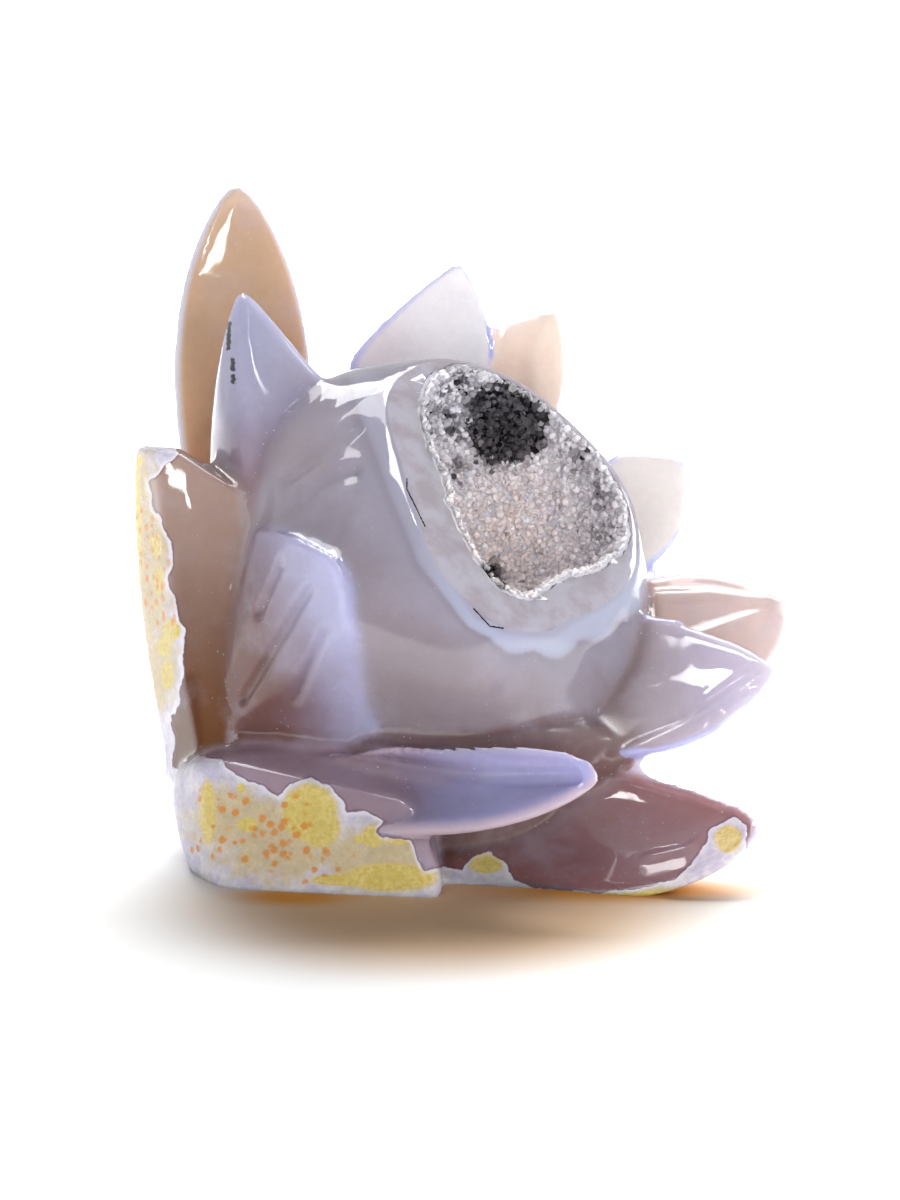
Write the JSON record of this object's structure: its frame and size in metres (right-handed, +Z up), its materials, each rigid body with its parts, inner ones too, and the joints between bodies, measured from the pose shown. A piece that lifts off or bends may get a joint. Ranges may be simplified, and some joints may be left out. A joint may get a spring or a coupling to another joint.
{
  "type": "agate lotus carving",
  "caption": "Polished agate carved as an open lotus, its broad petals ringing a bud whose sawn top opens a hollow lined with quartz points.",
  "frame": {"origin": "under the middle of the carving, on the surface that it rests on", "axes": "+Z up; -Y towards the picture's viewer, who sees the low front petals; +X towards the petals at the picture's right"},
  "size_m": [0.1061, 0.0976, 0.1],
  "materials": {
    "agate": "polished",
    "quartz": "natural crystal faces"
  },
  "bodies": {
    "root": {"lotus_carving": "agate", "druzy_crust": "quartz"}
  },
  "joints": []
}
